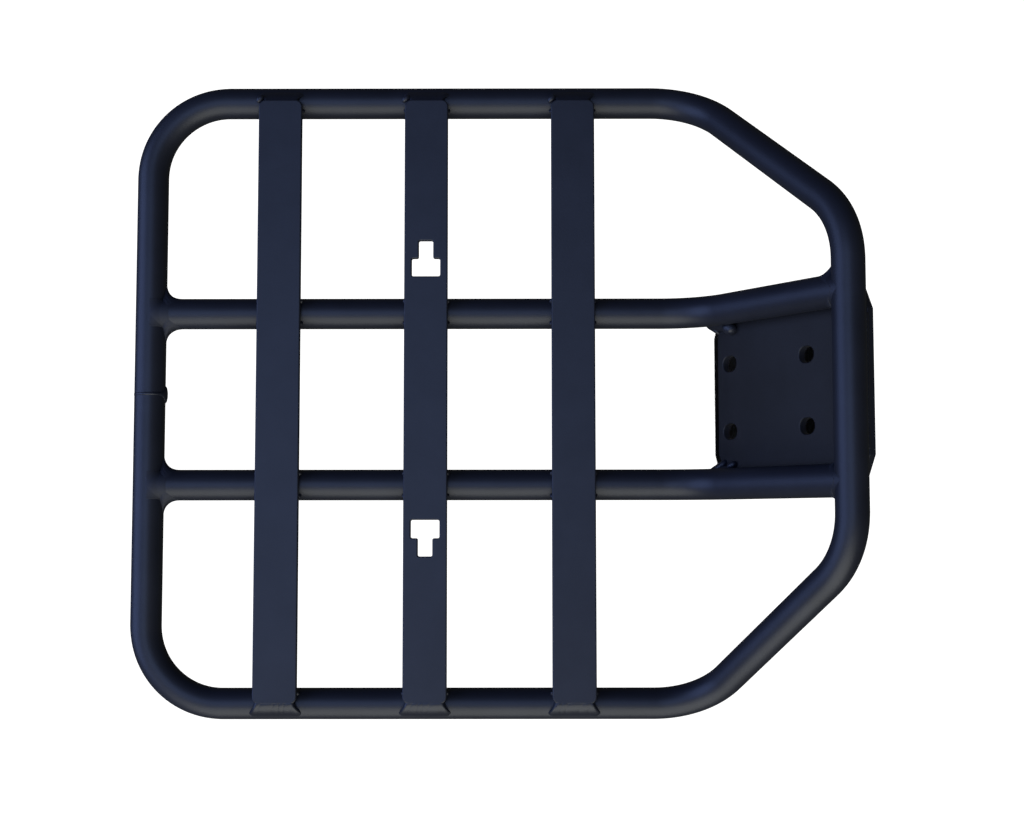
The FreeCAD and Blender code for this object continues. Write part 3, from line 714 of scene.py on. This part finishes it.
class CARRIER_OT_butt_weld(bpy.types.Operator):
    """Builds the weld that closes the ring in the middle of the front tube"""

    bl_idname = "carrier.butt_weld"
    bl_label = "Ring weld"

    def execute(self, context):
        rise = size_of("ring_butt_weld")[0] / 2 - TUBE_R
        seam = middle_of("ring_butt_weld")[1]
        points, faces = ring_bead(rise, seam, sizes().tube_wall)
        weld = make_piece("ring_weld", points, faces, ["ring_butt_weld"], sharp=60)
        coat(weld, "ring_weld_coat", BEAD)
        return {"FINISHED"}


class CARRIER_OT_rail_welds(bpy.types.Operator):
    """Builds the fillet welds at both ends of the rails"""

    bl_idname = "carrier.rail_welds"
    bl_label = "Rail welds"

    def execute(self, context):
        s = sizes()
        for side, sign in SIDES:
            crown = tee_crown(near=0.3 * MM, far=12.5 * MM, rise=0.35 * MM)
            skin, faces = joined([tee_fillet(s.tee_leg, seed=sign), crown])
            points = skin + (FRONT_X, sign * RAIL_Y, AXIS_Z)
            front = make_piece("front_fillet_" + side, points, faces,
                               ["rail_front_weld_" + side], sharp=60)
            coat(front, "front_fillet_coat_" + side, DULL)
            outer_leg = s.rear_outer_leg if sign > 0 else s.rear_leg
            skin, faces = tee_fillet(s.rear_leg, outer_leg, seed=2 * sign)
            points = on_incline(skin * (-1, 1, 1) + (INCLINE_LENGTH, sign * RAIL_Y, 0))
            rear = make_piece("rear_fillet_" + side, points, faces,
                              ["rail_rear_weld_" + side], sharp=60)
            coat(rear, "rear_fillet_coat_" + side, DULL)
        return {"FINISHED"}


class CARRIER_OT_slat_welds(bpy.types.Operator):
    """Builds the beads across the slats' ends and under the slats beside the tubes"""

    bl_idname = "carrier.slat_welds"
    bl_label = "Slat welds"

    def execute(self, context):
        for number, name in enumerate(SLATS):
            x = middle_of("slat_" + name)[0]
            for side, sign in SIDES:
                seed = 1.3 * number + 0.7 * sign
                self.end_bead(name, side, sign, x, seed)
                self.flank_beads(name, side, sign, x, seed)
        return {"FINISHED"}

    def end_bead(self, name, side, sign, x, seed):
        """The bead over one end of a slat.

        It is broad and rippled on the left. On the right it is low and smoother, with a short
        bead of its own at the corner nearer the front tube.
        """
        half = SLAT_SIZE[0] / 2
        if side == "left":
            parts = [lapped_bead(half, LEFT_END_CURVE, inner_over=0.2 * MM, outer_over=3.5 * MM,
                                 pitch=5.2 * MM, depth=0.34 * MM, seed=seed)]
        else:
            start = (-half - 1.9 * MM, 0.0, -1.9 * MM)
            end = (-half + 2.6 * MM, 1.9 * MM, -1.9 * MM)
            parts = [lapped_bead(half, RIGHT_END_CURVE, inner_over=-1.6 * MM, outer_over=1.2 * MM,
                                 pitch=4.4 * MM, depth=0.12 * MM, seed=seed),
                     bead(start, end, across=(0, 1, 0), up=(0, 0, 1), half_width=2.2 * MM,
                          crown=1.9 * MM, sink=1.6 * MM, pitch=4.0 * MM, depth=0.1, seed=seed,
                          steps=48)]
        skin, faces = joined(parts)
        points = skin * (1, sign, 1) + (x, sign * SLAT_SIZE[1] / 2, 0)
        place = "%s_%s" % (name, side)
        piece = make_piece("end_bead_" + place, points, faces,
                           ["slat_%s_end_weld_%s" % (name, side)], sharp=70)
        coat(piece, "end_bead_coat_" + place, BEAD)

    def flank_beads(self, name, side, sign, x, seed):
        """The beads in the grooves between a slat and the tubes under it."""
        reach = size_of("slat_%s_tube_weld_%s" % (name, side))[0] / 2
        out = 0.7 * TUBE_R
        z = -SLAT_SIZE[2] - 1.9 * MM
        for kind, tube_y, ways in (("tube", sign * SIDE_Y, (-sign,)),
                                   ("rail", sign * RAIL_Y, (1.0, -1.0))):
            skins = []
            for way in ways:
                y = tube_y + way * out
                across = unit((0, 0.75 * way, 0.66))
                up = unit((0, 0.66 * way, -0.75))
                skins.append(bead((x - reach, y, z), (x + reach, y, z), across, up,
                                  half_width=1.9 * MM, crown=1.1 * MM, sink=1.2 * MM,
                                  pitch=3.0 * MM, depth=0.14, seed=seed + way))
            points, faces = joined(skins)
            piece = make_piece("%s_beads_%s_%s" % (kind, name, side), points, faces,
                               ["slat_%s_%s_weld_%s" % (name, kind, side)], sharp=70)
            coat(piece, "%s_beads_coat_%s_%s" % (kind, name, side), BEAD)


class CARRIER_OT_plate_welds(bpy.types.Operator):
    """Builds the welds that hold the plate to the rails and to the rear tube"""

    bl_idname = "carrier.plate_welds"
    bl_label = "Plate welds"

    def execute(self, context):
        for side, sign in SIDES:
            self.corner(side, sign)
            self.seam(side, sign)
        self.top()
        return {"FINISHED"}

    def corner(self, side, sign):
        """The weld at a lower corner of the plate: on to the rail, the seam and its raised end."""
        inward, lean = unit((0, -sign * 0.7, -0.7)), unit((0, -sign * 0.7, 0.7))
        skins = []
        for number, (start, end, wide, crown) in enumerate(CORNER_RUNS[side]):
            start, end = (np.array(point) * (1, sign, 1) * MM for point in (start, end))
            skins.append(bead(start, end, inward, lean, half_width=wide * MM, crown=crown * MM,
                              sink=2.2 * MM, pitch=4.2 * MM, depth=0.08,
                              seed=0.4 + sign + number, steps=64))
        points, faces = joined(skins)
        piece = make_piece("corner_bead_" + side, on_incline(points), faces,
                           ["plate_corner_weld_" + side], sharp=70)
        coat(piece, "corner_bead_coat_" + side, BEAD)

    def seam(self, side, sign):
        """The weld between the plate's side and the rail in front of it."""
        low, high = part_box("mount_plate")
        y = high.y if sign > 0 else low.y
        start = (PLATE_LOW + sizes().plate_low_rise, y, -TUBE_R)
        end = (INCLINE_LENGTH - 2 * TUBE_R, y, -TUBE_R)
        skin, faces = bead(start, end, unit((0, sign * 0.5, 0.86)), unit((0, sign * 0.86, -0.5)),
                           half_width=2.3 * MM, crown=1.6 * MM, sink=1.4 * MM,
                           pitch=3.4 * MM, depth=0.14, seed=1.9 + sign, steps=220)
        piece = make_piece("side_bead_" + side, on_incline(skin), faces,
                           ["plate_side_weld_" + side], sharp=70)
        coat(piece, "side_bead_coat_" + side, BEAD)

    def top(self):
        """The low weld between the rear tube and the plate's upper edge."""
        low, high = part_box("plate_top_weld")
        x, z = INCLINE_LENGTH + 0.5 * TUBE_R, -0.97 * TUBE_R
        across, up = unit((0.5, 0, 0.86)), unit((0.86, 0, -0.5))
        skin, faces = bead((x, low.y, z), (x, high.y, z), across, up,
                           half_width=2.0 * MM, crown=0.9 * MM, sink=1.4 * MM,
                           pitch=3.4 * MM, depth=0.14, seed=3.1, steps=240)
        piece = make_piece("top_bead", on_incline(skin), faces,
                           ["plate_top_weld"], sharp=70)
        coat(piece, "top_bead_coat", BEAD)


# ---------------------------------------------------------------- materials

# Lowest and highest roughness of the coat: on the tubes, slats and plate, on the smoother beads,
# and on the duller fillets round the rails' ends.
SATIN, BEAD, DULL = (0.40, 0.50), (0.36, 0.44), (0.60, 0.70)


def node(tree, kind, x, y, **values):
    """A shader node at a place, with its attributes and input defaults set."""
    made = tree.nodes.new(kind)
    made.location = (x, y)
    for key, value in values.items():
        if hasattr(made, key):
            setattr(made, key, value)
        else:
            made.inputs[key.replace("_", " ")].default_value = value
    return made


def coat(piece, name, roughness=SATIN):
    """Powder coat: two close tones in slow clouds, fine orange-peel bump, uneven roughness."""
    material = bpy.data.materials.new(name)
    material.use_nodes = True
    tree = material.node_tree
    tree.nodes.clear()
    link = tree.links.new
    where = node(tree, "ShaderNodeTexCoord", -1200, 0)
    clouds = node(tree, "ShaderNodeTexNoise", -900, 300, Scale=38.0, Detail=3.0, Roughness=0.55)
    peel = node(tree, "ShaderNodeTexNoise", -900, 0, Scale=900.0, Detail=2.0, Roughness=0.5)
    grain = node(tree, "ShaderNodeTexNoise", -900, -300, Scale=3200.0, Detail=1.0, Roughness=0.5)
    for texture in (clouds, peel, grain):
        link(where.outputs["Object"], texture.inputs["Vector"])
    tone = node(tree, "ShaderNodeMix", -400, 300, data_type="RGBA")
    tone.inputs["A"].default_value = (*colours().deep, 1)
    tone.inputs["B"].default_value = (*colours().light, 1)
    spread = node(tree, "ShaderNodeMapRange", -650, 300)
    spread.inputs["From Min"].default_value = 0.3
    spread.inputs["From Max"].default_value = 0.7
    link(clouds.outputs["Fac"], spread.inputs["Value"])
    link(spread.outputs["Result"], tone.inputs["Factor"])
    gloss = node(tree, "ShaderNodeMapRange", -650, 0)
    gloss.inputs["To Min"].default_value = roughness[0]
    gloss.inputs["To Max"].default_value = roughness[1]
    link(grain.outputs["Fac"], gloss.inputs["Value"])
    bump = node(tree, "ShaderNodeBump", -400, -200)
    bump.inputs["Strength"].default_value = 0.12
    bump.inputs["Distance"].default_value = 0.0003
    link(peel.outputs["Fac"], bump.inputs["Height"])
    shader = node(tree, "ShaderNodeBsdfPrincipled", -100, 100)
    link(tone.outputs["Result"], shader.inputs["Base Color"])
    link(gloss.outputs["Result"], shader.inputs["Roughness"])
    link(bump.outputs["Normal"], shader.inputs["Normal"])
    out = node(tree, "ShaderNodeOutputMaterial", 200, 100)
    link(shader.outputs["BSDF"], out.inputs["Surface"])
    piece.data.materials.clear()
    piece.data.materials.append(material)


# ---------------------------------------------------------------- stage

FLOOR_REACH = 6.0
LIGHT_DISTANCE = 2.0
CAMERA_PLACE = (0.05156, -0.07223, 0.86707)
CAMERA_TURN = (-0.0009, 0.0749, 0.0016)     # about Z, then X, then Y, in radians
CAMERA_LENS = 52.734


class CARRIER_OT_stage(bpy.types.Operator):
    """Builds the pale floor, the soft lights and the camera"""

    bl_idname = "carrier.stage"
    bl_label = "Stage"

    def execute(self, context):
        self.lights(self.floor())
        self.camera()
        return {"FINISHED"}

    def floor(self):
        """A wide pale floor under the carrier, which the coat doesn't mirror."""
        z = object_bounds()[0].z
        reach = FLOOR_REACH
        mesh = bpy.data.meshes.new("floor")
        corners = [(-reach, -reach, z), (reach, -reach, z), (reach, reach, z), (-reach, reach, z)]
        mesh.from_pydata(corners, [], [(0, 1, 2, 3)])
        floor = bpy.data.objects.new("floor", mesh)
        bpy.context.scene.collection.objects.link(floor)
        floor.visible_glossy = False
        floor.visible_diffuse = False
        material = bpy.data.materials.new("floor")
        material.use_nodes = True
        shader = material.node_tree.nodes["Principled BSDF"]
        shader.inputs["Base Color"].default_value = (*colours().floor, 1)
        shader.inputs["Roughness"].default_value = 1.0
        shader.inputs["Specular IOR Level"].default_value = 0.0
        floor.data.materials.append(material)
        floor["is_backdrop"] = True
        return floor

    def lights(self, floor):
        """Soft lights, each on its own pieces.

        The carrier has a broad grey light from the left side, bluer ones from the front and
        from above, and a dim surround, which is white to the camera. The plate has a weaker light
        in the front one's place. The floor has an even light, nearly straight from above,
        that only the plate shades, so that the plate's holes are dark.
        """
        world = bpy.data.worlds.new("studio")
        world.use_nodes = True
        tree = world.node_tree
        tree.nodes.clear()
        dim = node(tree, "ShaderNodeBackground", 0, 100, Color=(1.0, 1.0, 0.85, 1), Strength=0.045)
        white = node(tree, "ShaderNodeBackground", 0, -100, Color=(1, 1, 1, 1), Strength=1.1)
        path = node(tree, "ShaderNodeLightPath", 0, 400)
        mix = node(tree, "ShaderNodeMixShader", 250, 100)
        out = node(tree, "ShaderNodeOutputWorld", 450, 100)
        tree.links.new(path.outputs["Is Camera Ray"], mix.inputs["Fac"])
        tree.links.new(dim.outputs[0], mix.inputs[1])
        tree.links.new(white.outputs[0], mix.inputs[2])
        tree.links.new(mix.outputs[0], out.inputs["Surface"])
        world.cycles_visibility.diffuse = False
        bpy.context.scene.world = world
        bpy.context.scene.view_settings.view_transform = "Standard"
        plate = bpy.data.objects["plate"]
        carrier = self.group("carrier_lit", [floor], "EXCLUDE")
        frame_only = self.group("frame_lit", [floor, plate], "EXCLUDE")
        plate_only = self.group("plate_lit", [plate], "INCLUDE")
        for name, heading, height, width, power, colour, group in (
                ("side_light", -90, 28, 2.6, 33, (0.98, 1.0, 0.95), carrier),
                ("front_light", 180, 22, 2.2, 28, (0.31, 0.44, 0.95), frame_only),
                ("plate_light", 180, 22, 2.2, 15, (0.37, 0.45, 0.72), plate_only),
                ("top_light", 180, 80, 1.4, 9, (0.34, 0.50, 1.0), carrier)):
            self.panel(name, heading, height, width, power, colour, group)
        even = bpy.data.lights.new("even_light", "SUN")
        even.energy = 4.1
        even.angle = math.radians(3)
        light = bpy.data.objects.new("even_light", even)
        light.rotation_euler = (0, math.radians(4.8), 0)
        light.light_linking.receiver_collection = self.group("floor_lit", [floor], "INCLUDE")
        light.light_linking.blocker_collection = self.group("floor_shades", [plate], "INCLUDE")
        bpy.context.scene.collection.objects.link(light)

    def group(self, name, members, state):
        """A light's group: only its members, or everything but them."""
        group = bpy.data.collections.new(name)
        for member in members:
            group.objects.link(member)
        for member in group.collection_objects:
            member.light_linking.link_state = state
        return group

    def panel(self, name, heading, height, width, power, colour, group):
        """One round area light, at a heading and a height in degrees, turned to the deck."""
        data = bpy.data.lights.new(name, "AREA")
        data.shape = "DISK"
        data.size = width
        data.energy = power
        data.color = colour
        a, e = math.radians(heading), math.radians(height)
        way = Vector((math.cos(a) * math.cos(e), math.sin(a) * math.cos(e), math.sin(e)))
        place = way * LIGHT_DISTANCE
        light = bpy.data.objects.new(name, data)
        light.location = place
        light.rotation_mode = "QUATERNION"
        light.rotation_quaternion = (-place).to_track_quat("-Z", "Y")
        light.light_linking.receiver_collection = group
        bpy.context.scene.collection.objects.link(light)

    def camera(self):
        """A camera above the deck, a little to the left side, looking down."""
        data = bpy.data.cameras.new("camera")
        data.sensor_width = 36
        data.lens = CAMERA_LENS
        data.clip_start, data.clip_end = 0.05, 50
        camera = bpy.data.objects.new("camera", data)
        roll, tilt, lean = (Matrix.Rotation(angle, 3, axis)
                            for angle, axis in zip(CAMERA_TURN, "ZXY"))
        turn = roll @ tilt @ lean
        camera.matrix_world = Matrix.Translation(CAMERA_PLACE) @ turn.to_4x4()
        bpy.context.scene.collection.objects.link(camera)
        bpy.context.scene.camera = camera


# ---------------------------------------------------------------- panel and registration

STEPS = (
    CARRIER_OT_outer_ring,
    CARRIER_OT_rails,
    CARRIER_OT_slats,
    CARRIER_OT_plate,
    CARRIER_OT_butt_weld,
    CARRIER_OT_rail_welds,
    CARRIER_OT_slat_welds,
    CARRIER_OT_plate_welds,
    CARRIER_OT_stage,
)


class CARRIER_PT_panel(bpy.types.Panel):
    """Lists the carrier's pieces in the sidebar"""

    bl_idname = "CARRIER_PT_panel"
    bl_label = "Carrier"
    bl_space_type = "VIEW_3D"
    bl_region_type = "UI"
    bl_category = "Carrier"

    def draw(self, context):
        for step in STEPS:
            self.layout.operator(step.bl_idname)


CLASSES = (CarrierSizes, CoatColours, *STEPS, CARRIER_PT_panel)


def register():
    """Registers the add-on's classes and the scene's settings."""
    for cls in CLASSES:
        bpy.utils.register_class(cls)
    bpy.types.Scene.carrier_sizes = PointerProperty(type=CarrierSizes)
    bpy.types.Scene.carrier_colours = PointerProperty(type=CoatColours)


def unregister():
    """Takes the add-on's classes and settings away again."""
    del bpy.types.Scene.carrier_colours
    del bpy.types.Scene.carrier_sizes
    for cls in reversed(CLASSES):
        bpy.utils.unregister_class(cls)


def main():
    """Builds every piece and the stage."""
    register()
    for step in STEPS:
        group, name = step.bl_idname.split(".")
        getattr(getattr(bpy.ops, group), name)()


if __name__ == "__main__":
    main()
